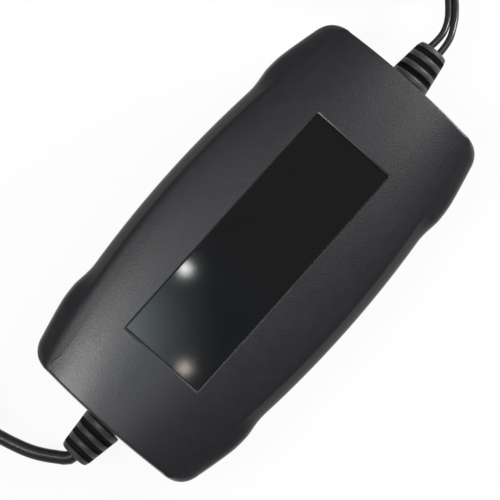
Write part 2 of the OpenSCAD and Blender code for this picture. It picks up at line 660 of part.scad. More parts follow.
// Torsion spring round the pivot pin: a leg on each handle and one and a half turns between them
spring_wire = 0.9;
spring_r = 2.6;
spring_pitch = 1.35;
spring_low = 4.9;
spring_leg = [-15, 7.5];
spring_turns = 1.5;
spring_path = concat([[spring_leg[0], spring_leg[1], spring_low], [-2.2, spring_r + 0.5, spring_low]],
    [for (i = [0:12]) let (t = spring_turns * i / 12, a = 90 - 360 * t)
        [spring_r * cos(a), spring_r * sin(a), spring_low + spring_pitch * t]],
    [for (x = [[-2.2, -spring_r - 0.5], [spring_leg[0], -spring_leg[1]]])
        [x[0], x[1], spring_low + spring_pitch * spring_turns]]);
echo(spring_gap = spring_pitch - spring_wire);
module torsion_spring() {
    color(steel) tube(spring_path, round_profile(spring_wire / 2, 6));
}
module on_clamp(at) {
    translate(at) children();
}
module red_fixed_jaw() {
    on_clamp(red_at) jaw_half(1, fixed_z, clamp_pin_r);
}
module red_moving_jaw() {
    on_clamp(red_at) jaw_half(-1, moving_z, clamp_pin_r + 0.06);
}
module red_fixed_grip() {
    on_clamp(red_at) grip_half(1, fixed_z, 0, grip_red);
}
module red_moving_grip() {
    on_clamp(red_at) grip_half(-1, moving_z, 0.4, grip_red);
}
module red_spring() {
    on_clamp(red_at) torsion_spring();
}
module black_fixed_jaw() {
    on_clamp(black_at) jaw_half(1, fixed_z, clamp_pin_r);
}
module black_moving_jaw() {
    on_clamp(black_at) jaw_half(-1, moving_z, clamp_pin_r + 0.06);
}
module black_fixed_grip() {
    on_clamp(black_at) grip_half(1, fixed_z, 0, black_rubber);
}
module black_moving_grip() {
    on_clamp(black_at) grip_half(-1, moving_z, 0.4, black_rubber);
}
module black_spring() {
    on_clamp(black_at) torsion_spring();
}
module clamp_pins() {
    color(steel) for (at = [red_at, black_at]) on_clamp(at) {
        translate([0, 0, 0.3]) cylinder(h = clamp_thick - 0.6, r = clamp_pin_r);
        for (z = [0.2, clamp_thick - 0.9]) translate([0, 0, z]) cylinder(h = 0.7, r = 2.7);
    }
}

top_shell();
bottom_shell();
case_seal();
case_screws();
rubber_feet();
window_adhesive();
display_window();
display_module();
display_board();
display_board_screws();
ribbon_cable();
main_board();
board_screws();
lead_terminals();
mains_inner_cores();
mains_fuse();
fuse_clips();
x_capacitor();
filter_choke();
bridge_rectifier();
primary_capacitor();
primary_heat_sink();
switching_transistors();
transformer_core();
transformer_bobbin();
transformer_winding();
output_heat_sink();
output_diodes();
output_inductor();
output_capacitors();
output_relay();
output_inner_cores();
ac_strain_relief();
dc_strain_relief();
ac_lead();
ac_lead_coil();
ac_lead_tail();
ac_coil_tie();
plug_body();
plug_strain_relief();
plug_pins();
plug_pin_sleeves();
dc_lead();
dc_lead_coil();
dc_lead_tail();
dc_coil_tie();
lead_split_sleeve();
red_lead();
black_lead();
red_fixed_jaw();
red_moving_jaw();
red_fixed_grip();
red_moving_grip();
red_spring();
black_fixed_jaw();
black_moving_jaw();
black_fixed_grip();
black_moving_grip();
black_spring();
clamp_pins();
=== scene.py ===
"""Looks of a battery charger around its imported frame: housing, window, leads, plug, clamps and stage."""
import math

import bmesh
import bpy
import numpy as np
from bpy.props import FloatProperty, FloatVectorProperty, IntProperty, PointerProperty
from mathutils import Matrix, Vector


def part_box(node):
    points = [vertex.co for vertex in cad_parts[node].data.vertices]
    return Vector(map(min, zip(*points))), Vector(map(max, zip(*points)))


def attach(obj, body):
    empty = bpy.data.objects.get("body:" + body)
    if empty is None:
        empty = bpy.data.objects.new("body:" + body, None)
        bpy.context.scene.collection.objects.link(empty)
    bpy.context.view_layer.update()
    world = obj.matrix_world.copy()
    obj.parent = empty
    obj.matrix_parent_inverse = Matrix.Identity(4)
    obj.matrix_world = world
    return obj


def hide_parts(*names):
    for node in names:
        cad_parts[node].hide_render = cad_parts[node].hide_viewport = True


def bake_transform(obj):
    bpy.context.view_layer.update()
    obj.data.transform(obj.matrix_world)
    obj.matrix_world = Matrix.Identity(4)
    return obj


bl_info = {
    "name": "Battery Charger Looks",
    "version": (1, 0, 0),
    "blender": (4, 5, 0),
    "location": "3D View > Sidebar > Charger",
    "description": "Builds the surfaces, leads and stage of a battery charger around its frame",
    "category": "Object",
}

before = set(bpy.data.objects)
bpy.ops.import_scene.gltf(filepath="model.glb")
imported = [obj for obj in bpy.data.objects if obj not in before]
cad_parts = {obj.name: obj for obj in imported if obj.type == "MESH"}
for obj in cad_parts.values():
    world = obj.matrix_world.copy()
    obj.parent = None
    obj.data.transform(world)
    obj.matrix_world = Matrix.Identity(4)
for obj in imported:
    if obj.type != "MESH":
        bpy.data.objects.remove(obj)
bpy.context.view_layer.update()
MM = 0.001
UP = np.array([0.0, 0.0, 1.0])
SHELL_LOW, SHELL_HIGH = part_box("top_shell")


# ---------------------------------------------------------------- sizes and colours a user would change
def metres(name, description, default):
    return FloatProperty(name=name, description=description, unit="LENGTH", default=default)


class ChargerHousing(bpy.types.PropertyGroup):
    """Sizes and colour of the moulded housing."""

    length: metres("Length", "Length of the housing", SHELL_HIGH.x - SHELL_LOW.x)
    width: metres("Width", "Width of the housing at its middle", SHELL_HIGH.y - SHELL_LOW.y)
    height: metres("Height", "Top of the crown above the floor", 0.05)
    parting: metres("Parting line", "Height where the shells meet", 0.025)
    wall: metres("Wall", "Thickness of both shells", 0.0025)
    colour: FloatVectorProperty(name="Plastic", description="Colour of the moulded plastic",
                                subtype="COLOR", default=(0.0130, 0.0126, 0.0155))


class ChargerLeads(bpy.types.PropertyGroup):
    """Sizes and colour of the leads."""

    mains: metres("Mains lead", "Diameter of the mains lead", 0.006)
    core: metres("Battery core", "Diameter of one core of the twin lead", 0.0031)
    sides: IntProperty(name="Sides", description="Points round a lead", default=20, min=8, max=48)
    colour: FloatVectorProperty(name="Jacket", description="Colour of the lead's jacket", subtype="COLOR",
                                default=(0.018, 0.018, 0.020))


class ChargerStage(bpy.types.PropertyGroup):
    """The camera's place."""

    distance: metres("Distance", "Camera to the housing's middle", 0.9)
    span: metres("Span", "Width of the view at the housing's middle", 0.2157)
    turn: FloatProperty(name="Turn", description="Housing's long axis above the picture's horizontal",
                        subtype="ANGLE", default=math.radians(48.3))
    tilt: FloatProperty(name="Tilt", description="Lean of the camera towards the mains end",
                        subtype="ANGLE", default=math.radians(2.1))


# ---------------------------------------------------------------- shader maths
class Value:
    """A socket's number or colour; + and * on it add its Math nodes."""

    def __init__(self, paint, socket):
        self.paint, self.socket = paint, socket

    def maths(self, operation, a, b):
        return self.paint.node("ShaderNodeMath", {"operation": operation}, {0: a, 1: b})

    def __add__(self, other):
        return self.maths("ADD", self, other)

    def __mul__(self, other):
        return self.maths("MULTIPLY", self, other)


class Paint:
    """One material: its Principled shader, and methods that add and join its other nodes."""

    def __init__(self, name, **constants):
        self.material = bpy.data.materials.new(name)
        self.material.use_nodes = True
        self.tree = self.material.node_tree
        self.shader = self.tree.nodes["Principled BSDF"]
        self.output = self.tree.nodes["Material Output"]
        self.feed(self.shader, constants)

    def feed(self, node, values):
        for key, value in values.items():
            socket = node.inputs[key if isinstance(key, int) else key.replace("_", " ")]
            if isinstance(value, Value):
                self.tree.links.new(value.socket, socket)
            else:
                socket.default_value = value

    def node(self, kind, settings=None, sockets=None, out=0):
        made = self.tree.nodes.new(kind)
        for key, value in (settings or {}).items():
            setattr(made, key, value)
        self.feed(made, sockets or {})
        return Value(self, made.outputs[out])

    def place(self):
        """Object coordinates, the same at rest and in every pose."""
        return self.node("ShaderNodeTexCoord", out="Object")

    def noise(self, scale, detail=2.0, where=None):
        return self.node("ShaderNodeTexNoise", None,
                         {"Vector": where or self.place(), "Scale": scale, "Detail": detail})

    def mix(self, share, a, b):
        return self.node("ShaderNodeMix", {"data_type": "RGBA"}, {0: share, 6: a, 7: b}, out=2)

    def ramp(self, value, low, high):
        """0 below low, 1 above high."""
        return self.node("ShaderNodeMapRange", None, {0: value, 1: low, 2: high})

    def bump(self, height, distance):
        return self.node("ShaderNodeBump", None, {"Height": height, "Distance": distance, "Strength": 1.0})


def rgb(colour, lift=1.0):
    return tuple(min(1.0, c * lift) for c in colour[:3]) + (1.0,)


def moulded(name, colour, rough, grain=1400.0, depth=0.00003, drift=0.25, spread=0.06, speck=0.0):
    """Moulded plastic or rubber: a fine spark-eroded grain, faint flow marks and handling marks.

    drift and spread are how far colour and roughness change, speck the grain's share in the colour's."""
    paint = Paint(name)
    place = paint.place()
    marks = paint.noise(38.0, 3.0, place)
    flow = paint.noise(260.0, 2.0, place)
    speckle = paint.noise(grain, 3.0, place)
    shade = paint.ramp(marks * (0.7 - speck) + flow * 0.3 + speckle * speck, 0.3, 0.7)
    paint.feed(paint.shader, {
        "Base Color": paint.mix(shade, rgb(colour, 1 - drift), rgb(colour, 1 + drift)),
        "Roughness": shade * (2 * spread) + (rough - spread),
        "Normal": paint.bump(speckle, depth)})
    return paint.material


def metal(name, colour, rough, streak=(1.0, 1.0, 1.0)):
    """Plated or drawn metal: faint brushed streaks and a slow change of gloss."""
    paint = Paint(name, Metallic=1.0)
    stretched = paint.node("ShaderNodeMapping", None, {"Vector": paint.place(), "Scale": streak})
    streaks = paint.noise(900.0, 3.0, stretched)
    slow = paint.noise(60.0, 2.0)
    paint.feed(paint.shader, {
        "Base Color": paint.mix(slow, rgb(colour, 0.88), rgb(colour, 1.06)),
        "Roughness": streaks * 0.16 + (rough - 0.08),
        "Normal": paint.bump(streaks, 0.00001)})
    return paint.material


# ---------------------------------------------------------------- meshes
def linked(name, data):
    """A new object of the data, at the origin of the scene."""
    made = bpy.data.objects.new(name, data)
    bpy.context.scene.collection.objects.link(made)
    return made


def plain_object(name, verts, faces):
    """A new object from lists of points and of faces, with no material."""
    mesh = bpy.data.meshes.new(name)
    mesh.from_pydata(verts, [], faces)
    return linked(name, mesh)


def add_object(name, verts, faces, material, crease=math.radians(38)):
    """A new object from lists of points and of faces, smooth but for its creases."""
    made = plain_object(name, verts, faces)
    mesh = made.data
    mesh.validate()
    mesh.materials.append(material)
    mesh.shade_smooth()
    mesh.set_sharp_from_angle(angle=crease)
    return made


def outward(verts, faces):
    """Faces turned to point outwards, by the sign of the volume that their fans of triangles enclose."""
    volume = 0.0
    for quad in faces:
        a, b, c = verts[quad[:, 0]], verts[quad[:, 1]], verts[quad[:, 2]]
        volume += np.einsum("ij,ij->", a, np.cross(b, c))
        if quad.shape[1] == 4:
            volume += np.einsum("ij,ij->", a, np.cross(c, verts[quad[:, 3]]))
    return faces if volume > 0 else [quad[:, ::-1] for quad in faces]


def skin(rows, loop=False, caps=True):
    """Points and faces of rows x columns x 3 points: quads between neighbours, the columns closed round.

    The rows too are closed round if loop; otherwise each end row gets a fan to its middle if caps."""
    count_r, count_c = rows.shape[:2]
    verts = rows.reshape(-1, 3)
    r = np.arange(count_r if loop else count_r - 1)[:, None]
    c = np.arange(count_c)[None, :]
    r2, c2 = (r + 1) % count_r, (c + 1) % count_c
    quads = np.stack([r * count_c + c, r * count_c + c2, r2 * count_c + c2, r2 * count_c + c], -1)
    faces = [quads.reshape(-1, 4)]
    if caps and not loop:
        k = np.arange(count_c)
        turn = (k + 1) % count_c
        last = (count_r - 1) * count_c
        verts = np.vstack([verts, rows[0].mean(0), rows[-1].mean(0)])
        low = np.full(count_c, len(verts) - 2)
        fans = (turn, k, low), (last + k, last + turn, low + 1)
        faces.append(np.vstack([np.stack(fan, -1) for fan in fans]))
    return verts, outward(verts, faces)


def together(shapes):
    """Several shapes' points and faces as one."""
    verts, faces, start = [], [], 0
    for points, parts in shapes:
        verts.append(points)
        faces += [tuple(f) for part in parts for f in (part + start).tolist()]
        start += len(points)
    return np.vstack(verts), faces


def piece(name, shapes, material, body, nodes, crease=math.radians(38)):
    """A finished piece from shapes: it rides on its body and stands for the CAD nodes."""
    verts, faces = together(shapes)
    made = add_object(name, verts.tolist(), faces, material, crease)
    if body:
        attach(made, body)
    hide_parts(*nodes)
    return made


def smooth_path(points, step):
    """A smooth line through points, sampled at even steps of length.

    Each stretch is a cubic; its slope at a point is the mean of both stretches', weighted by distance."""
    p = np.asarray(points, float)
    t = np.concatenate([[0], np.cumsum(np.linalg.norm(np.diff(p, axis=0), axis=1))])
    d = np.diff(p, axis=0) / np.diff(t)[:, None]
    h = np.diff(t)[:, None]
    slope = np.vstack([d[:1], (d[1:] * h[:-1] + d[:-1] * h[1:]) / (h[1:] + h[:-1]), d[-1:]])
    dense = np.linspace(0, t[-1], int(t[-1] / step) * 4 + 2)
    k = np.clip(np.searchsorted(t, dense, "right") - 1, 0, len(p) - 2)
    span = h[k]
    u = ((dense - t[k])[:, None]) / span
    line = ((2 * u**3 - 3 * u**2 + 1) * p[k] + (u**3 - 2 * u**2 + u) * span * slope[k]
            + (3 * u**2 - 2 * u**3) * p[k + 1] + (u**3 - u**2) * span * slope[k + 1])
    run = np.concatenate([[0], np.cumsum(np.linalg.norm(np.diff(line, axis=0), axis=1))])
    even = np.linspace(0, run[-1], max(3, int(run[-1] / step) + 1))
    return np.stack([np.interp(even, run, line[:, i]) for i in range(3)], -1)


def path_length(path):
    return float(np.linalg.norm(np.diff(path, axis=0), axis=1).sum())


def path_frames(path):
    """At each point of a path: the level direction to its side, and the one square to that and the path."""
    ahead = np.gradient(path, axis=0)
    side = np.cross(ahead, UP)
    side /= np.linalg.norm(side, axis=1)[:, None]
    lift = np.cross(side, ahead)
    return side, lift / np.linalg.norm(lift, axis=1)[:, None]


def tube(path, radius, sides, shift=0.0):
    """A round tube whose centre runs beside the path by shift; radius and shift may change along it."""
    side, lift = path_frames(path)
    angle = np.linspace(0, 2 * math.pi, sides, endpoint=False)
    radius = np.broadcast_to(radius, len(path))[:, None, None]
    shift = np.broadcast_to(shift, len(path))[:, None]
    centre = path + side * shift
    around = side[:, None] * np.cos(angle)[None, :, None] + lift[:, None] * np.sin(angle)[None, :, None]
    return skin(centre[:, None] + around * radius)


def lathe(profile, centre, axis, side, count=64, loop=False):
    """A profile of (along, radius) turned about an axis."""
    profile = np.asarray(profile, float)
    axis, side = np.asarray(axis, float), np.asarray(side, float)
    other = np.cross(axis, side)
    angle = np.linspace(0, 2 * math.pi, count, endpoint=False)
    around = np.cos(angle)[:, None] * side + np.sin(angle)[:, None] * other
    middle = np.asarray(centre) + profile[:, :1] * axis
    return skin(middle[:, None] + profile[:, 1, None, None] * around[None], loop=loop)


def ease_rows(rows, times=2):
    """Rows with the corners between them eased, the first and last kept.

    Each pass cuts every stretch at a quarter and at three quarters."""
    for _ in range(times):
        a, b = rows[:-1], rows[1:]
        cut = np.stack([a * 0.75 + b * 0.25, a * 0.25 + b * 0.75], 1).reshape(-1, *rows.shape[1:])
        rows = np.concatenate([rows[:1], cut, rows[-1:]])
    return rows


def eased_copy(node, name, material, body, width, segments=3, crease=math.radians(30)):
    """A CAD node's shape with its edges rounded: a merged copy with a bevel."""
    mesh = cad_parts[node].data.copy()
    mesh.name = name
    merge_flat(mesh)
    mesh.materials.clear()
    mesh.materials.append(material)
    made = linked(name, mesh)
    bevel = made.modifiers.new("Rounded edges", "BEVEL")
    bevel.width = width
    bevel.segments = segments
    bevel.limit_method = "ANGLE"
    bevel.angle_limit = crease
    bevel.use_clamp_overlap = True
    mesh.shade_smooth()
    mesh.set_sharp_from_angle(angle=crease)
    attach(made, body)
    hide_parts(node)
    return made


def merge_flat(mesh):
    """Loose triangles of a mesh merged, with flat faces dissolved back to one."""
    work = bmesh.new()
    work.from_mesh(mesh)
    bmesh.ops.remove_doubles(work, verts=work.verts, dist=1e-6)
    bmesh.ops.dissolve_limit(work, angle_limit=math.radians(1.5), verts=work.verts, edges=work.edges)
    work.to_mesh(mesh)
    work.free()


# ---------------------------------------------------------------- stage
def look_matrix(eye, target, up):
    """A camera or lamp at eye that looks at target, its top towards up."""
    back = (Vector(eye) - Vector(target)).normalized()
    right = Vector(up).cross(back).normalized()
    lift = back.cross(right)
    turned = Matrix((right, lift, back)).transposed().to_4x4()
    turned.translation = eye
    return turned


def area_lamp(name, eye, target, size, power, colour=(1, 1, 1), up=(1, 0, 0)):
    """A rectangular lamp, its size in metres and its power in watts."""
    lamp = bpy.data.lights.new(name, "AREA")
    lamp.shape = "RECTANGLE"
    lamp.size, lamp.size_y = size
    lamp.energy, lamp.color = power, colour
    linked(name, lamp).matrix_world = look_matrix(eye, target, up)


class CHARGER_OT_stage(bpy.types.Operator):
    """Camera from above, soft studio light and a pale floor that keeps the shadow"""

    bl_idname = "charger.stage"
    bl_label = "Stage"

    def execute(self, context):
        scene, stage = context.scene, context.scene.charger_stage
        scene.view_settings.view_transform = "Standard"
        middle = Vector((-0.0006, 0.0029, 0.025))
        lean = Vector((-math.sin(stage.tilt), 0, math.cos(stage.tilt)))
        lens = bpy.data.cameras.new("Camera")
        lens.angle = 2 * math.atan(stage.span / 2 / stage.distance)
        lens.clip_start, lens.clip_end = 0.01, 20
        scene.camera = linked("Camera", lens)
        picture_up = (math.sin(stage.turn), math.cos(stage.turn), 0)
        scene.camera.matrix_world = look_matrix(middle + lean * stage.distance, middle, picture_up)
        self.light(scene)
        self.floor()
        return {"FINISHED"}

    def light(self, scene):
        """Two soft lamps above, one low at the side, and two small ones that the window reflects."""
        world = bpy.data.worlds.new("Studio")
        world.use_nodes = True
        background = world.node_tree.nodes["Background"]
        background.inputs["Color"].default_value = (1, 1, 1, 1)
        background.inputs["Strength"].default_value = 0.22
        scene.world = world
        middle, spot, warm = (0, 0, 0.03), (0.009, 0.009), (1, 0.86, 0.75)
        area_lamp("Key", (-0.315, 0.275, 0.91), middle, (0.23, 0.23), 4.4)
        area_lamp("Fill", (0.42, -0.12, 0.95), middle, (0.28, 0.28), 1.85)
        area_lamp("Rim", (0.9, -0.3, 0.36), (0.09, 0, 0.04), (0.3, 0.12), 8.0, up=(0, 0, 1))
        area_lamp("Near spot", (-0.0174, 0.033, 0.925), middle, spot, 0.0085)
        area_lamp("Warm spot", (-0.080, -0.022, 0.925), middle, spot, 0.0042, warm)
        self.card()

    def card(self):
        """A soft round glow that only glossy surfaces see, brightest in its middle.

        A ball of radius 1 / per_metre about -shift / per_metre gives 1 in its middle and 0 at its edge; its
        square mixes the two strengths."""
        shift, per_metre = (0.92, -0.54, -7.15), 7.7
        edge_strength, middle_strength, tint = 0.22, 7.9, (0.82, 0.95, 1.0, 1.0)
        x, y, z, half = -0.12, 0.07, 0.93, 0.13
        paint = Paint("Soft card")
        moved = paint.node("ShaderNodeMapping", None, {
            "Vector": paint.place(), "Location": shift, "Scale": (per_metre,) * 3})
        ball = paint.node("ShaderNodeTexGradient", {"gradient_type": "SPHERICAL"}, {"Vector": moved},
                          out="Fac")
        edge, core = (paint.node("ShaderNodeEmission", None, {"Color": tint, "Strength": strength})
                      for strength in (edge_strength, middle_strength))
        both = paint.node("ShaderNodeMixShader", None, {0: ball * ball, 1: edge, 2: core})
        paint.feed(paint.output, {"Surface": both})
        corners = [(x - half, y - half, z), (x - half, y + half, z),
                   (x + half, y + half, z), (x + half, y - half, z)]
        made = add_object("Soft card", corners, [(0, 1, 2, 3)], paint.material)
        made.visible_camera = made.visible_diffuse = made.visible_shadow = False

    def floor(self):
        """A pale floor just under the feet; where it is seen, all but a little of it is an even white."""
        white_share, half, z = 0.93, 3.0, -0.0002
        paint = Paint("Pale floor", Roughness=0.9, Base_Color=(0.9, 0.9, 0.9, 1.0))
        rays = paint.tree.nodes.new("ShaderNodeLightPath").outputs
        camera, glossy, through = (Value(paint, rays[f"Is {kind} Ray"])
                                   for kind in ("Camera", "Glossy", "Transmission"))
        seen = camera + glossy + through
        glow = paint.node("ShaderNodeEmission", None, {"Color": (1, 1, 1, 1), "Strength": 1.0})
        both = paint.node("ShaderNodeMixShader", None, {
            0: seen * white_share, 1: Value(paint, paint.shader.outputs[0]), 2: glow})
        paint.feed(paint.output, {"Surface": both})
        corners = [(-half, -half, z), (half, -half, z), (half, half, z), (-half, half, z)]
        add_object("Floor", corners, [(0, 1, 2, 3)], paint.material)


# ---------------------------------------------------------------- housing
# Points of a quarter ring: along the long side, round the corner and across the end.
LONG, CORNER, END = 92, 36, 44


def millimetres(points):
    return np.asarray(points, float) * MM


def eased_step(low, high, x):
    """0 below low, 1 above high, with a smooth cubic between."""
    t = np.clip((x - low) / (high - low), 0, 1)
    return t * t * (3 - 2 * t)


class Housing:
    """Curves of the housing in millimetres, from its half length l, half width w and height.

    Long side: y = w - x^2 / 968; from x = 48 to 62 it gives way to a lobe,
    y = w - 1.4 - 0.1225 (d + sqrt(d^2 + 25)) with d = x - 68.
    Shoulder line: y = w - 5.2 - 10.7 (x / l)^2. End: x = l - 0.9 (y / 33)^2.
    Crown: z = height - 4.2 |y / shoulder|^2.6 - 0.8 |x / l|^4.
    PROFILE is the wall's curve: shares of the way in from outline to shoulder line, and of the rise.
    LANDING is where the crown's rows start, at the long sides and at the ends, as shares of its width."""

    PROFILE = [(0, 0), (0.015, 0.36), (0.03, 0.6), (0.09, 0.74), (0.34, 0.83), (0.68, 0.92)]
    LANDING = 0.24, 0.045
    EXIT_RADIUS = 7.05

    def __init__(self, sizes):
        self.l, self.w = sizes.length / 2 / MM, sizes.width / 2 / MM
        self.height, self.parting = sizes.height / MM, sizes.parting / MM
        self.wall = sizes.wall / MM
        corner_x, end_y, far_x = self.l - 10, 31.5, self.l - 3.5
        corner_y, far_y = self.side(corner_x), self.shoulder_y(far_x)
        self.outline = self.ring(
            np.linspace(0, corner_x, LONG + 1)[:-1], self.side,
            [(corner_x, corner_y), (self.l - 0.6, corner_y - 2.3), (self.end(end_y), end_y)],
            np.linspace(end_y, 0, END + 1), self.end)
        self.shoulder = self.ring(
            np.linspace(0, far_x, LONG + 1)[:-1], self.shoulder_y,
            [(far_x, far_y), (self.l - 1.2, far_y - 0.5), (self.end(far_y - 3) - 1, far_y - 3)],
            np.linspace(far_y - 3, 0, END + 1), lambda y: self.end(y) - 1)
        along = np.arange(LONG + CORNER + END + 1)
        endness = eased_step(LONG - 12, LONG + CORNER - 6, along)
        self.endness = np.abs(self.mirrored(np.stack([endness, endness], -1)))[:, 0]
        half_round = np.sqrt(np.maximum(0, self.EXIT_RADIUS**2 - self.outline[:, 1] ** 2))
        self.exit = half_round * (self.endness > 0.99)

    def side(self, x):
        d = x - 68
        lobe = self.w - 1.4 - 0.1225 * (d + np.sqrt(d * d + 25))
        share = eased_step(48, 62, x)
        return (self.w - x * x / 968) * (1 - share) + lobe * share

    def shoulder_y(self, x):
        return self.w - 5.2 - 10.7 * (x / self.l) ** 2

    def end(self, y):
        return self.l - 0.9 * (y / 33) ** 2

    @staticmethod
    def mirrored(quarter):
        """A quarter ring, from the middle of the long side to that of the end, made whole by mirroring."""
        down, back, left = (quarter * np.array(f) for f in ((1, -1), (-1, -1), (-1, 1)))
        return np.vstack([quarter[:-1], down[::-1][:-1], back[:-1], left[::-1][:-1]])

    def ring(self, xs, side, bend, ys, end):
        """A ring from its long side, the three points that bend its corner, and its end."""
        t = np.linspace(0, 1, CORNER + 1)[:-1, None]
        a, b, c = (np.array(p, float) for p in bend)
        corner = a * (1 - t) ** 2 + b * 2 * t * (1 - t) + c * t * t
        sides = np.stack([xs, side(xs)], -1), corner, np.stack([end(ys), ys], -1)
        return self.mirrored(np.vstack(sides))

    def window(self, half_x, half_y, r=0.6):
        """A rectangle with its corners rounded by r, with as many points as the outline."""
        t = np.linspace(0, math.pi / 2, CORNER + 1)[:-1]
        corner = np.stack([half_x - r + r * np.sin(t), half_y - r + r * np.cos(t)], -1)
        xs, ys = np.linspace(0, half_x - r, LONG + 1)[:-1], np.linspace(half_y - r, 0, END + 1)
        side, end = np.stack([xs, xs * 0 + half_y], -1), np.stack([ys * 0 + half_x, ys], -1)
        return self.mirrored(np.vstack([side, corner, end]))

    def inset(self, ring, d):
        return ring * (1 - d / np.array([self.l, self.w]))

    def crown(self, ring, drop=0.0):
        """A flat ring raised to the crown, less a drop."""
        x, y = np.abs(ring).T
        z = self.height - 4.2 * (y / self.shoulder_y(x)) ** 2.6 - 0.8 * (x / self.l) ** 4
        return np.column_stack([ring, z - drop])

    def wall_row(self, outer, shoulder, share, lift, low=0.0):
        """A row of the wall, share of the way in and lift of the way up to the crown less low."""
        top = self.crown(shoulder, low)[:, 2]
        z = self.parting + (top - self.parting) * lift
        return np.column_stack([outer * (1 - share) + shoulder * share, z])

    @staticmethod
    def level(ring, z):
        return np.column_stack([ring, np.full(len(ring), float(z))])

    def round_exits(self, rows, way):
        """Rows near the parting line moved away from it, to leave half of each round lead exit."""
        above = way * (rows[..., 2] - self.parting)
        fade = np.clip(1 - above / 12, 0, 1) * (above > -0.01)
        rows[..., 2] += way * self.exit * fade
        return rows


def bosses(place, low, profile, loop=False):
    """Round posts on (x, y) and its three mirrors, from a profile of (height above low, radius)."""
    (x, y), up, across = place, (0, 0, 1), (1, 0, 0)
    return [lathe(millimetres(profile), (sx * x * MM, sy * y * MM, low * MM), up, across, 32, loop)
            for sx in (-1, 1) for sy in (-1, 1)]


class CHARGER_OT_housing(bpy.types.Operator):
    """Top shell with its recess, bottom shell with its screw wells, display window and feet"""

    bl_idname = "charger.housing"
    bl_label = "Housing"
    CASE_SCREWS, DISPLAY_SCREWS, BOARD_SCREWS = (85, 26), (50, 21.5), (76, 30)

    def execute(self, context):
        sizes = context.scene.charger_housing
        plastic = moulded("Charcoal plastic", sizes.colour, 0.33, grain=1600.0, depth=0.00006, drift=0.15,
                          spread=0.04, speck=0.45)
        shape = Housing(sizes)
        piece("housing_top", self.top(shape), plastic, "root", ("top_shell",),
              math.radians(50))
        piece("housing_base", self.base(shape), plastic, "root", ("bottom_shell",))
        gloss = moulded("Window gloss", (0.004, 0.004, 0.005), 0.05, grain=60.0, depth=0.0000002,
                        drift=0.1, spread=0.015)
        eased_copy("display_window", "window_pane", gloss, "root", 0.00006, 2)
        rubber = moulded("Foot rubber", (0.016, 0.016, 0.017), 0.7, depth=0.00004)
        eased_copy("rubber_feet", "feet", rubber, "root", 0.0005)
        return {"FINISHED"}

    def top(self, shape):
        """Outside from the parting line over the shoulder to the recess, and back inside."""
        outer, shoulder, rim = shape.outline, shape.shoulder, shape.window(60.5, 20.35)
        ledge, under_ledge = 48, 46.4
        side_start, end_start = shape.LANDING
        first = (side_start * (1 - shape.endness) + end_start * shape.endness)[:, None]
        rows = [shape.wall_row(outer, shoulder, *f) for f in shape.PROFILE] + [shape.crown(shoulder)]
        shares = [first + (0.97 - first) * s for s in (0, 0.05, 0.12, 0.22, 0.34, 0.48, 0.64, 0.82, 1)]
        rows += [shape.crown(shoulder * (1 - t) + rim * t) for t in shares]
        outside = ease_rows(np.stack(rows))
        edge, hole = shape.crown(rim), shape.window(57, 17)
        recess = [shape.crown(shape.window(60.56, 20.41)), edge - (0, 0, 0.06), shape.level(rim, ledge),
                  shape.level(hole, ledge), shape.level(hole, under_ledge)]
        inner, inner_sh = shape.inset(outer, shape.wall), shape.inset(shoulder, shape.wall)
        under = [shape.crown(hole * (1 - t) + inner_sh * t, shape.wall + 1.2 - t) for t in (0.35, 0.7)]
        under += [shape.crown(inner_sh, shape.wall)]
        under += [shape.wall_row(inner, inner_sh, *shape.PROFILE[k], shape.wall) for k in (5, 3, 1)]
        under += [shape.level(inner, shape.parting)]
        rows = np.concatenate([outside, np.stack(recess + under)])
        return [skin(shape.round_exits(rows, 1) * MM, loop=True),
                *bosses(self.CASE_SCREWS, 20, [(15, 1.5), (0, 1.5), (0, 4), (26.5, 4)]),
                *bosses(self.DISPLAY_SCREWS, 43.6, [(2.8, 0.9), (0, 0.9), (0, 2.5), (3.6, 2.5)])]

    def base(self, shape):
        """Outside from the flat underside up to the parting line, the seal's groove, and back down inside.

        Four round wells are cut through the underside, each lined by a hollow post. The walls are pairs of
        how far the outline is drawn in, and the height."""
        out = shape.outline
        outer_wall = (7, 2), (4.2, 2.7), (2.4, 4.6), (1.6, 8), (0.5, 25)
        inner_wall = (1, 25), (1, 23.9), (1.9, 23.9), (1.9, 25), (2.7, 25), (4.2, 8), (7, 4.5)
        outside, inside = (np.stack([shape.level(shape.inset(out, d), z) for d, z in wall])
                           for wall in (outer_wall, inner_wall))
        rows = np.concatenate([ease_rows(outside), inside])
        verts, faces = skin(shape.round_exits(rows, -1) * MM, caps=False)
        post = [(10.6, 1.7), (10.6, 3.1), (0, 3.1), (0, 4.6), (15.6, 4.6), (15.6, 1.7)]
        return [pierced(verts, faces, len(out), bosses(self.CASE_SCREWS, 0, [(0, 3.1), (10, 3.1)])),
                *bosses(self.CASE_SCREWS, 4.4, post, True),
                *bosses(self.BOARD_SCREWS, 3.5, [(5.5, 1.25), (0, 1.25), (0, 3.5), (5.5, 3.5)])]


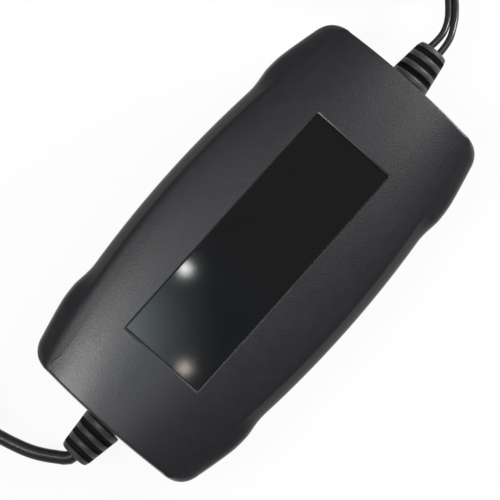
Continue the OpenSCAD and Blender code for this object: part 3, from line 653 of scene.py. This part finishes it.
def pierced(verts, faces, count, cutters):
    """A shell whose first and last rings, of count points, get flat floors, with solids cut out of it."""
    last = len(verts) - count
    ring = np.arange(count)
    polygons = [tuple(f) for part in faces for f in part.tolist()]
    polygons += [tuple(ring.tolist()), tuple((last + ring).tolist())]
    body = plain_object("Plain shell", verts.tolist(), polygons)
    turn_outward(body.data)
    points, cut_faces = together(cutters)
    cutter = plain_object("Wells", points.tolist(), cut_faces)
    cut = body.modifiers.new("Wells", "BOOLEAN")
    cut.object, cut.operation, cut.solver = cutter, "DIFFERENCE", "EXACT"
    bpy.context.view_layer.update()
    graph = bpy.context.evaluated_depsgraph_get()
    done = bpy.data.meshes.new_from_object(body.evaluated_get(graph))
    result = np.empty(len(done.vertices) * 3)
    done.vertices.foreach_get("co", result)
    shape = result.reshape(-1, 3), [np.array([list(p.vertices)]) for p in done.polygons]
    for mesh in (body.data, cutter.data, done):
        bpy.data.meshes.remove(mesh)
    return shape


def turn_outward(mesh):
    """All faces of a closed mesh turned outward."""
    work = bmesh.new()
    work.from_mesh(mesh)
    bmesh.ops.recalc_face_normals(work, faces=work.faces)
    work.to_mesh(mesh)
    work.free()


# ---------------------------------------------------------------- strain reliefs
class CHARGER_OT_reliefs(bpy.types.Operator):
    """Grooved rubber reliefs where the leads leave the housing, and the one on the plug"""

    bl_idname = "charger.reliefs"
    bl_label = "Strain reliefs"

    def execute(self, context):
        rubber = self.rubber()
        end, exit_z = context.scene.charger_housing.length / 2 / MM, 25
        yaw, flange, neck = math.radians(2.5), (2.2, 9.4), (7.5, 7)
        for name, s in (("ac", -1), ("dc", 1)):
            axis = np.array([s * math.cos(yaw), math.sin(yaw), 0])
            cone = self.cone((s * end, 0, exit_z), axis, (1.2, 19.6), (9.4, 7.0), (5.4, 10.6, 15.8),
                             1.9, 2.5)
            inner_end = millimetres((s * (end - 5.9), 0, exit_z))
            inside = [lathe(millimetres([(0, radius), (long, radius)]), inner_end, (s, 0, 0), (0, 1, 0))
                      for long, radius in (flange, neck)]
            self.relief(name, cone, inside, rubber, f"{name}_strain_relief")
        cone = self.cone(PLUG, np.array([0.0, 1.0, 0.0]), (0.0, 14.0), (5.6, 4.2), (3.5, 7.0, 10.5),
                         1.1, 1.7)
        self.relief("plug", cone, [], rubber, "plug_strain_relief")
        return {"FINISHED"}

    def relief(self, name, cone, inside, rubber, node):
        """One relief's piece, with its attribute of painted shade in the grooves: the cone's points first,
        0 on all the others.
        """
        *shape, shares = cone
        made = piece(f"{name}_relief", [shape, *inside], rubber, "root", (node,),
                     math.radians(32))
        values = np.zeros(len(made.data.vertices), np.float32)
        values[:len(shares)] = shares
        made.data.attributes.new("groove", "FLOAT", "POINT").data.foreach_set("value", values)

    def rubber(self):
        """Matt rubber with painted shade: its colour falls to near black down in the grooves, by the mesh's
        own attribute of the grooves.
        """
        paint = Paint("Relief rubber", Specular_IOR_Level=0.4)
        place = paint.place()
        shade = paint.noise(300.0, 2.0, place)
        groove = paint.node("ShaderNodeAttribute", {"attribute_name": "groove"}, out="Fac")
        skin_colour = paint.mix(shade, rgb((0.030, 0.030, 0.032)), rgb((0.062, 0.062, 0.066)))
        paint.feed(paint.shader, {
            # Painted shade: the colour goes near black where the groove share is 1, in place of the shadow
            # down in the grooves.
            "Base Color": paint.mix(groove, skin_colour, rgb((0.001, 0.001, 0.001))),
            "Roughness": groove * 0.4 + 0.5,
            "Normal": paint.bump(paint.noise(900.0, 3.0, place), 0.00004)})
        return paint.material

    def cone(self, root, axis, ends, radii, grooves, deep, gap):
        """A grooved cone between both ends along its axis, and each point's share of the groove, which sets
        the painted shade there.

        The grooves are as deep as deep above and below, and fade out level with the axis, which leaves a
        spine along either side."""
        (low, high), (wide, narrow) = ends, radii
        base = [(low, 0.5, 0), (low, wide - 0.4, 0), (low + 0.4, wide, 0)]
        sides = []
        for middle in grooves:
            for at, share in ((-0.5, 0), (-0.42, 1), (0.42, 1), (0.5, 0)):
                x = middle + at * gap
                sides.append((x, wide + (narrow - wide) * (x - low) / (high - low), share))
        tip = [(high - 1.6, narrow, 0), (high - 0.5, narrow - 0.35, 0), (high, narrow - 1.6, 0),
               (high, 3.4, 0), (high - 0.5, 3.1, 0), (high - 0.5, 0.4, 0)]
        profile = ease_rows(np.array(base + sides + tip, float))
        angle = np.linspace(0, 2 * math.pi, 120, endpoint=False)
        across = np.cross(UP, axis)
        fade = eased_step(0.0, 0.6, np.abs(np.sin(angle)))
        reach = profile[:, 1, None] - deep * profile[:, 2, None] * fade
        around = np.cos(angle)[:, None] * across + np.sin(angle)[:, None] * UP
        centre = np.asarray(root, float) + profile[:, :1] * axis
        # Each point's share of the groove, which paints shade into the rubber's colour down in the grooves.
        shares = np.repeat(eased_step(0.1, 0.6, profile[:, 2]), len(angle))
        return *skin((centre[:, None] + reach[..., None] * around[None]) * MM), shares


# ---------------------------------------------------------------- leads
# The coils' layers; in metres, their gap above the floor, their middles and the clamps' pivots.
LAYERS, FLOOR_LIFT = 4, 0.9 * MM
AC_COIL, DC_COIL = (-0.1585, 0.067), (0.154, 0.0465)
CLAMPS = {"red": (0.152, 0.093, 0), "black": (0.152, 0.093, 0.0123)}
# In millimetres, where the plug's relief starts, a clamp's grip and the leads' routes.
PLUG = (-178.5, 6, 6.9)
GRIP_TAIL, GRIP_FRONT = (-34, 8.4, 14.2), (-10, 2.6, 9.7)
AC_ROUTE = [
    (-116.7, 0.85, 25), (-117.5, 0.95, 25), (-118.39, 1.2, 25), (-119.23, 1.7, 25),
    (-119.98, 2.45, 24.97), (-120.7, 3.5, 24.95), (-122.1, 5.6, 24.9), (-125.4, 10.8, 24.7),
    (-128.2, 16.6, 24.5), (-130.3, 23, 24.2), (-132, 29.6, 24), (-132.9, 34.4, 23.8),
    (-132.6, 38.8, 23.7), (-131.1, 42.9, 23.7), (-129, 46.6, 23.7),
]
AC_TAIL = [
    (-194.3, 58, 3.95), (-193, 49.5, 4.4), (-190, 41.5, 5.1), (-185.6, 34.5, 5.9), (-181.6, 28.6, 6.5),
    (-179, 24.2, 6.8), (-178.5, 21.4, 6.9), (-178.5, 19.8, 6.9),
]
DC_ROUTE = [
    (116.8, 0.7, 25), (121.4, 0.6, 24.6), (125.7, 1.1, 23.6), (129.8, 2.6, 22.2), (133.6, 4.6, 20.4),
    (137.1, 7.1, 18.4), (140.3, 9.8, 16.6), (143.4, 12.8, 15.2), (146.7, 15.6, 14.4),
    (150.3, 17.8, 14.05), (154.4, 19.2, 13.9),
]
DC_TAIL = [
    (147, 73.4, 2.45), (140, 73.1, 2.45), (134, 73.5, 2.5), (128.8, 73.5, 2.5),
]
RED_ROUTE = [
    (118.2, 75.25, 2.5), (115, 75.25, 2.4), (109, 75.5, 1.9), (102.5, 77.6, 1.6), (98, 82.6, 1.6),
    (96.4, 89.3, 1.8), (98, 96, 2.4), (102.6, 101.2, 3.6), (108.6, 103.6, 5.2), (114, 104, 6),
    (119.3, 104, 6),
]
BLACK_ROUTE = [
    (118.2, 71.75, 2.5), (115, 71.75, 2.4), (109, 71.8, 1.9), (101.6, 73.6, 1.8), (95.6, 78.2, 2.8),
    (92.6, 85, 5), (92.6, 92.4, 8.4), (95.8, 98.8, 12.2), (101.6, 103, 15.6), (108.4, 104, 17.8),
    (114, 104, 18.3), (119.3, 104, 18.3),
]


def loops(centre, start, turns, outer, pitch, rise, radius):
    """A lead of this radius in piled loops, from the top layer down to the floor.

    The loops' radius falls by pitch a turn, then grows again, one layer lower each time. In the half turn
    between two layers the lead sinks by rise as a cosine and its loop swells or dips as a sine."""
    top, per_turn = radius + FLOOR_LIFT + (LAYERS - 1) * rise, 24
    leg = (turns - 0.5 * (LAYERS - 1)) / LAYERS
    t = np.linspace(0, turns, int(round(turns * per_turn)) + 1)
    layer = np.floor(t / (leg + 0.5) + 1e-4)
    u = t - layer * (leg + 0.5)
    inward = layer % 2 == 0
    near_edge = np.where(inward, outer - pitch * leg, outer)
    swell = np.where(inward, -1, 1) * pitch / (2 * math.pi) * np.sin((u - leg) * 2 * math.pi)
    run = np.where(inward, outer - pitch * u, outer - pitch * (leg - u))
    away = np.where(u <= leg, run, near_edge + swell)
    depth = np.where(u <= leg, layer, layer + (1 - np.cos((u - leg) * 2 * math.pi)) / 2)
    angle = math.radians(start) + 2 * math.pi * t
    return np.stack([centre[0] + away * np.cos(angle), centre[1] + away * np.sin(angle),
                     top - rise * depth], -1)


class CHARGER_OT_leads(bpy.types.Operator):
    """Mains lead, twin battery lead and its two split ends, and the woven ties round their coils"""

    bl_idname = "charger.leads"
    bl_label = "Leads"

    def execute(self, context):
        leads = context.scene.charger_leads
        jacket = moulded("Lead jacket", leads.colour, 0.30, grain=240.0, depth=0.000004)
        radius, core = leads.mains / 2, leads.core
        tape = weave()

        pitch = leads.mains + 0.0006
        coil = loops(AC_COIL, -28, 8 + 208 / 360, 0.036, pitch, pitch, radius)
        mains = smooth_path(np.vstack([millimetres(AC_ROUTE), coil, millimetres(AC_TAIL)]), 0.0022)
        piece("mains_lead", [tube(mains, radius, leads.sides)], jacket, "root",
              ("ac_lead", "ac_lead_coil", "ac_lead_tail"))
        self.tie("ac", mains, AC_COIL, math.radians(150), radius, radius, tape)

        gap, split, split_run = 0.0007, 0.0009, 0.014
        coil = loops(DC_COIL, -80, 9 + 170 / 360, 0.027, 2 * core + gap, core + gap, core / 2)
        twin = smooth_path(np.vstack([millimetres(DC_ROUTE), coil, millimetres(DC_TAIL)]), 0.0016)
        run = np.linspace(0, path_length(twin), len(twin))
        apart = core / 2 + split * np.clip(1 - run / split_run, 0, 1)
        cores = [tube(twin, core / 2, leads.sides - 6, s * apart) for s in (-1, 1)]
        piece("battery_lead", cores, jacket, "root",
              ("dc_lead", "dc_lead_coil", "dc_lead_tail"))
        self.tie("dc", twin, DC_COIL, math.radians(35), core, core / 2, tape)

        for colour, route in (("red", RED_ROUTE), ("black", BLACK_ROUTE)):
            path = smooth_path(millimetres(route), 0.0012)
            piece(f"{colour}_clamp_lead", [tube(path, core / 2, leads.sides - 4)], jacket, "root",
                  (f"{colour}_lead",))
        return {"FINISHED"}

    def tie(self, name, path, centre, angle, across, up, tape):
        """A woven band drawn tight round a coil.

        Where it crosses, each turn of the lead counts as an oval of points, across and up its half sizes.
        The band's line is the outermost of them in each direction, moved out by its slack."""
        out = np.array([math.cos(angle), math.sin(angle)])
        along = np.array([-math.sin(angle), math.cos(angle)])
        half_wide, near, inner, outer = 0.004, 0.0045, 0.0002, 0.0008
        flat = path[:, :2] - centre
        here = (np.abs(flat @ along) < near) & (flat @ out > 0)
        turn = np.linspace(0, 2 * math.pi, 24, endpoint=False)
        oval = np.stack([across * np.cos(turn), up * np.sin(turn)], -1)
        points = (np.stack([flat[here] @ out, path[here, 2]], -1)[:, None] + oval).reshape(-1, 2)
        facing = np.linspace(0, 2 * math.pi, 120, endpoint=False)
        ways = np.stack([np.cos(facing), np.sin(facing)], -1)
        line = points[np.argmax(points @ ways.T, axis=0)]
        rows = []
        for slack, side in ((inner, -1), (outer, -1), (outer, 1), (inner, 1)):
            loop = line + slack * ways
            ground = np.array(centre) + loop[:, :1] * out + side * half_wide * along
            rows.append(np.column_stack([ground, loop[:, 1]]))
        piece(f"{name}_band", [skin(np.stack(rows), loop=True)], tape, "root",
              (f"{name}_coil_tie",), math.radians(50))


def weave():
    """Woven tape: crossed bands of threads, each a wave along one of the object's axes."""
    paint = Paint("Woven tape", Specular_IOR_Level=0.3)
    place = paint.place()
    threads = [paint.node("ShaderNodeTexWave", {"wave_type": "BANDS", "bands_direction": way},
                          {"Vector": place, "Scale": 260.0, "Distortion": 0.4}, out="Fac") for way in "XYZ"]
    height = threads[0] + threads[1] + threads[2]
    paint.feed(paint.shader, {
        "Base Color": paint.mix(paint.noise(120.0, 2.0, place), rgb((0.014,) * 3), rgb((0.03,) * 3)),
        "Roughness": height * 0.05 + 0.75, "Normal": paint.bump(height, 0.00008)})
    return paint.material


# ---------------------------------------------------------------- clamps and plug
class CHARGER_OT_fittings(bpy.types.Operator):
    """Clamps with dipped grips and plated jaws, and the plug"""

    bl_idname = "charger.fittings"
    bl_label = "Plug and clamps"

    def execute(self, context):
        plate = metal("Clamp plate", (0.62, 0.61, 0.58), 0.34, streak=(0.15, 1.0, 1.0))
        grips = {"red": moulded("Red vinyl", (0.45, 0.015, 0.015), 0.4, grain=700.0, drift=0.12),
                 "black": moulded("Black vinyl", (0.02, 0.02, 0.021), 0.45, grain=700.0, drift=0.2)}
        for colour, vinyl in grips.items():
            halves = ("fixed", "root", 1, 6.0), ("moving", f"{colour}_moving", -1, 5.6)
            for part, body, side, half_high in halves:
                piece(f"{colour}_{part}_handle", [self.grip(CLAMPS[colour], side, half_high)], vinyl, body,
                      (f"{colour}_{part}_grip",), math.radians(60))
                eased_copy(f"{colour}_{part}_jaw", f"{colour}_{part}_clip", plate, body,
                           0.00018, 2)
            self.spring(colour, plate)
        eased_copy("clamp_pins", "clamp_rivets", plate, "root", 0.00025, 3)
        moulding = moulded("Plug moulding", (0.016, 0.016, 0.017), 0.38, grain=800.0)
        eased_copy("plug_body", "plug_shell", moulding, "root", 0.0012, 4, math.radians(20))
        eased_copy("lead_split_sleeve", "split_sleeve", moulding, "root", 0.0004)
        return {"FINISHED"}

    def grip(self, at, side, half_high):
        """A dipped sleeve over a handle: an oval of the fourth power with rounded ends and finger waves.

        It follows the handle from GRIP_TAIL to GRIP_FRONT, each (x, inner y, outer y) in millimetres; side
        is 1 for the half on +Y."""
        end_round, waves, middle_z = 1.2, 5, 6
        share = np.linspace(0, 1, 97)[:, None]
        x, inner, outer = (a + share * (b - a) for a, b in zip(GRIP_TAIL, GRIP_FRONT))
        reach = np.minimum(x - GRIP_TAIL[0], GRIP_FRONT[0] - x + 0.35) / end_round
        shrink = np.sqrt(1 - np.clip(1 - reach, 0, 0.95) ** 2)
        turn = np.linspace(0, 2 * math.pi, 64, endpoint=False)
        oval = [np.sign(f(turn)) * np.abs(f(turn)) ** 0.5 for f in (np.cos, np.sin)]
        wave = 1 - 0.05 * (0.5 - 0.5 * np.cos(share * 2 * math.pi * waves)) * (oval[0] > 0)
        y = (inner + outer) / 2 + (outer - inner) / 2 * shrink * oval[0] * wave
        z = middle_z + half_high * shrink * oval[1]
        return skin(np.stack(np.broadcast_arrays(x, side * y, z), -1) * MM + np.array(at))

    def spring(self, colour, material):
        """A torsion spring round the pivot: one and a half turns, and a leg on each handle."""
        at, radius, low, high, wire = CLAMPS[colour], 2.6, 4.9, 6.925, 0.00045
        turn = np.linspace(0, 1.5, 60)
        angle = math.pi / 2 - 2 * math.pi * turn
        coil = np.stack([radius * np.cos(angle), radius * np.sin(angle), low + 1.35 * turn], -1)
        legs = [(-15, 7.5, low), (-2.2, 3.1, low)], [(-2.2, -3.1, high), (-15, -7.5, high)]
        path = smooth_path(np.vstack([legs[0], coil, legs[1]]) * MM + np.array(at), 0.0004)
        made = piece(f"{colour}_coil_spring", [tube(path, wire, 10)], material, None,
                     (f"{colour}_spring",))
        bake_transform(made)


# ---------------------------------------------------------------- free leads
class CHARGER_OT_cords(bpy.types.Operator):
    """Does nothing; it leaves the leads as the Leads step built them"""

    bl_idname = "charger.cords"
    bl_label = "Free leads"

    def execute(self, context):
        return {"FINISHED"}


# ---------------------------------------------------------------- inside
class CHARGER_OT_inside(bpy.types.Operator):
    """Finishes of the parts inside the housing and of the small ones outside that keep their own shape"""

    bl_idname = "charger.inside"
    bl_label = "Inside parts"

    FINISHES = {
        "Seal rubber": ((0.03, 0.03, 0.03), 0.7, ("case_seal",)),
        "Adhesive tape": ((0.2, 0.2, 0.2), 0.6, ("window_adhesive",)),
        "Display glass": ((0.03, 0.05, 0.04), 0.15, ("display_module",)),
        "Solder mask": ((0.02, 0.15, 0.05), 0.3, ("display_board", "main_board")),
        "Ribbon": ((0.6, 0.6, 0.58), 0.45, ("ribbon_cable",)),
        "Terminal": ((0.03, 0.2, 0.1), 0.45, ("lead_terminals",)),
        "Brown insulation": ((0.15, 0.06, 0.03), 0.45, ("mains_inner_cores",)),
        "Red insulation": ((0.4, 0.02, 0.02), 0.45, ("output_inner_cores",)),
        "Fuse tube": ((0.55, 0.57, 0.58), 0.1, ("mains_fuse",)),
        "Capacitor box": ((0.65, 0.42, 0.05), 0.35, ("x_capacitor",)),
        "Package": ((0.02, 0.02, 0.02), 0.5,
                    ("bridge_rectifier", "switching_transistors", "output_diodes")),
        "Shrink sleeve": ((0.02, 0.05, 0.14), 0.3, ("primary_capacitor", "output_capacitors")),
        "Ferrite": ((0.06, 0.06, 0.065), 0.55, ("transformer_core",)),
        "Bobbin": ((0.6, 0.5, 0.3), 0.5, ("transformer_bobbin",)),
        "Relay": ((0.03, 0.12, 0.4), 0.35, ("output_relay",)),
        "Pin sleeve": ((0.015, 0.015, 0.015), 0.35, ("plug_pin_sleeves",)),
    }
    METALS = {
        "Zinc plate": ((0.6, 0.6, 0.62), 0.35,
                       ("case_screws", "display_board_screws", "board_screws", "fuse_clips")),
        "Enamelled copper": ((0.6, 0.25, 0.1), 0.3,
                             ("filter_choke", "transformer_winding", "output_inductor")),
        "Extruded aluminium": ((0.7, 0.7, 0.72), 0.38, ("primary_heat_sink", "output_heat_sink")),
        "Nickel": ((0.75, 0.74, 0.7), 0.2, ("plug_pins",)),
    }

    def execute(self, context):
        for table, maker in ((self.FINISHES, moulded), (self.METALS, metal)):
            for name, (colour, rough, nodes) in table.items():
                finish = maker(name, colour, rough)
                for node in nodes:
                    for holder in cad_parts[node].material_slots:
                        holder.material = finish
        return {"FINISHED"}


# ---------------------------------------------------------------- panel
class CHARGER_PT_panel(bpy.types.Panel):
    """Sizes and steps of the charger's looks"""

    bl_label = "Battery charger"
    bl_idname = "CHARGER_PT_panel"
    bl_space_type = "VIEW_3D"
    bl_region_type = "UI"
    bl_category = "Charger"

    def draw(self, context):
        for name in GROUPS:
            group = getattr(context.scene, name)
            for key in group.__annotations__:
                self.layout.prop(group, key)
        for step in STEPS:
            self.layout.operator(f"charger.{step}")


GROUPS = {"charger_housing": ChargerHousing, "charger_leads": ChargerLeads, "charger_stage": ChargerStage}
STEPS = ("stage", "leads", "housing", "reliefs", "fittings", "cords", "inside")
CLASSES = (*GROUPS.values(), CHARGER_OT_stage, CHARGER_OT_leads, CHARGER_OT_housing, CHARGER_OT_reliefs,
           CHARGER_OT_fittings, CHARGER_OT_cords, CHARGER_OT_inside, CHARGER_PT_panel)


def register():
    for cls in CLASSES:
        bpy.utils.register_class(cls)
    for name, group in GROUPS.items():
        setattr(bpy.types.Scene, name, PointerProperty(type=group))


def unregister():
    for name in GROUPS:
        delattr(bpy.types.Scene, name)
    for cls in reversed(CLASSES):
        bpy.utils.unregister_class(cls)


def main():
    register()
    for step in STEPS:
        getattr(bpy.ops.charger, step)()


if __name__ == "__main__":
    main()
